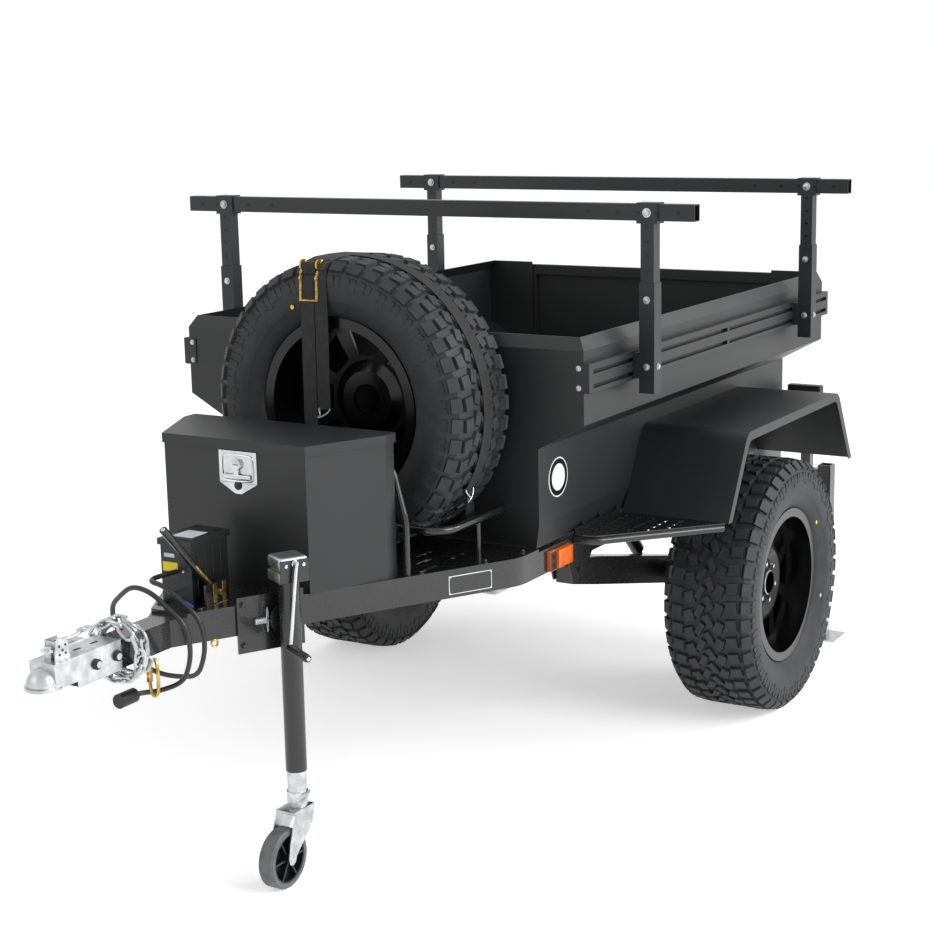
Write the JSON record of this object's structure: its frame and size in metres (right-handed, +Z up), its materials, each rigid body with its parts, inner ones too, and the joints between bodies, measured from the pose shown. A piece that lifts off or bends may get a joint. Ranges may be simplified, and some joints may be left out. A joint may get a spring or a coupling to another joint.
{
  "type": "off-road box trailer",
  "caption": "Single-axle off-road box trailer with flared steel tub, A-frame drawbar, tongue toolbox, upright spare wheel, height-adjustable rack, swing-up jack and drop-leg stabilisers.",
  "frame": {"origin": "on the ground, midway along and across the trailer", "axes": "+X towards the coupler, +Y the trailer's left, +Z up"},
  "size_m": [3.66, 1.938, 1.828],
  "materials": {
    "powder_coat": "matte",
    "frame_gloss": "gloss",
    "rack_paint": "satin",
    "zinc_plate": "satin",
    "stainless": "polished",
    "tyre_rubber": "matte",
    "rim_gloss": "gloss",
    "cast_hub": "matte",
    "black_plastic": "matte",
    "lamp_lens": "gloss",
    "tail_lens": "gloss",
    "webbing": "woven",
    "cable_jacket": "satin",
    "caster_rubber": "matte"
  },
  "bodies": {
    "chassis": {"tub_side_left": "powder_coat", "tub_side_right": "powder_coat", "tub_front_panel": "powder_coat", "tub_floor": "powder_coat", "tub_rear_corners": "powder_coat", "side_rail_left": "powder_coat", "side_rail_right": "powder_coat", "rail_end_plates": "powder_coat", "frame_rail_left": "frame_gloss", "frame_rail_right": "frame_gloss", "crossmembers": "frame_gloss", "tongue_tube": "frame_gloss", "deck_plate": "frame_gloss", "fender_left": "powder_coat", "fender_right": "powder_coat", "step_left": "frame_gloss", "step_right": "frame_gloss", "toolbox_body": "powder_coat", "toolbox_latch": "stainless", "spare_tyre": "tyre_rubber", "spare_rim": "rim_gloss", "spare_carrier": "frame_gloss", "spare_straps": "webbing", "jack_mount": "frame_gloss", "rack_sleeves": "rack_paint", "trailing_arms": "frame_gloss", "arm_hangers": "frame_gloss", "shock_absorbers": "frame_gloss", "rear_bumper": "frame_gloss", "marker_lights": "lamp_lens", "tail_lights": "tail_lens", "coupler": "zinc_plate", "battery_box": "black_plastic", "brake_lever": "frame_gloss", "safety_chains": "zinc_plate", "cable_coil": "cable_jacket", "tow_cable": "cable_jacket", "cable_plug": "black_plastic"},
    "toolbox_lid": {"toolbox_lid": "powder_coat"},
    "tailgate": {"tailgate": "powder_coat"},
    "jack": {"jack_tube": "frame_gloss", "jack_crank": "zinc_plate"},
    "jack_leg": {"jack_leg": "zinc_plate"},
    "caster": {"caster_fork": "zinc_plate"},
    "caster_wheel": {"caster_wheel": "caster_rubber"},
    "rack_front": {"rack_bar_front": "rack_paint"},
    "rack_rear": {"rack_bar_rear": "rack_paint"},
    "stabiliser_left": {"stabiliser_leg_left": "zinc_plate"},
    "stabiliser_right": {"stabiliser_leg_right": "zinc_plate"},
    "wheel_left": {"tyre_left": "tyre_rubber", "rim_left": "rim_gloss", "hub_left": "cast_hub"},
    "wheel_right": {"tyre_right": "tyre_rubber", "rim_right": "rim_gloss", "hub_right": "cast_hub"}
  },
  "joints": [
    {"name": "wheel_left_spin", "type": "hinge", "parent": "chassis", "child": "wheel_left", "pos_m": [-0.91, 0.81, 0.4445], "axis": [0, 1, 0], "continuous": true},
    {"name": "wheel_right_spin", "type": "hinge", "parent": "chassis", "child": "wheel_right", "pos_m": [-0.91, -0.81, 0.4445], "axis": [0, 1, 0], "continuous": true},
    {"name": "toolbox_lid_hinge", "type": "hinge", "parent": "chassis", "child": "toolbox_lid", "pos_m": [0.691, 0, 1.216], "axis": [0, -1, 0], "range_deg": [0, 100]},
    {"name": "tailgate_hinge", "type": "hinge", "parent": "chassis", "child": "tailgate", "pos_m": [-1.791, 0, 0.809], "axis": [0, -1, 0], "range_deg": [0, 90]},
    {"name": "jack_swing", "type": "hinge", "parent": "chassis", "child": "jack", "pos_m": [1.06284, 0.223, 0.752], "axis": [-0.4906, -0.8714, 0], "range_deg": [-90, 0]},
    {"name": "jack_leg_slide", "type": "slide", "parent": "jack", "child": "jack_leg", "axis": [0, 0, 1], "range_m": [-0.18, 0.055]},
    {"name": "caster_swivel", "type": "hinge", "parent": "jack_leg", "child": "caster", "pos_m": [1.078, 0.25, 0.212], "axis": [0, 0, 1], "continuous": true},
    {"name": "caster_wheel_spin", "type": "hinge", "parent": "caster", "child": "caster_wheel", "pos_m": [1.158, 0.25, 0.085], "axis": [0, 1, 0], "continuous": true},
    {"name": "rack_front_slide", "type": "slide", "parent": "chassis", "child": "rack_front", "axis": [0, 0, 1], "range_m": [-0.165, 0.15]},
    {"name": "rack_rear_slide", "type": "slide", "parent": "chassis", "child": "rack_rear", "axis": [0, 0, 1], "range_m": [-0.165, 0.15]},
    {"name": "stabiliser_left_slide", "type": "slide", "parent": "chassis", "child": "stabiliser_left", "axis": [0, 0, 1], "range_m": [-0.1, 0.3]},
    {"name": "stabiliser_right_slide", "type": "slide", "parent": "chassis", "child": "stabiliser_right", "axis": [0, 0, 1], "range_m": [-0.1, 0.3]}
  ]
}
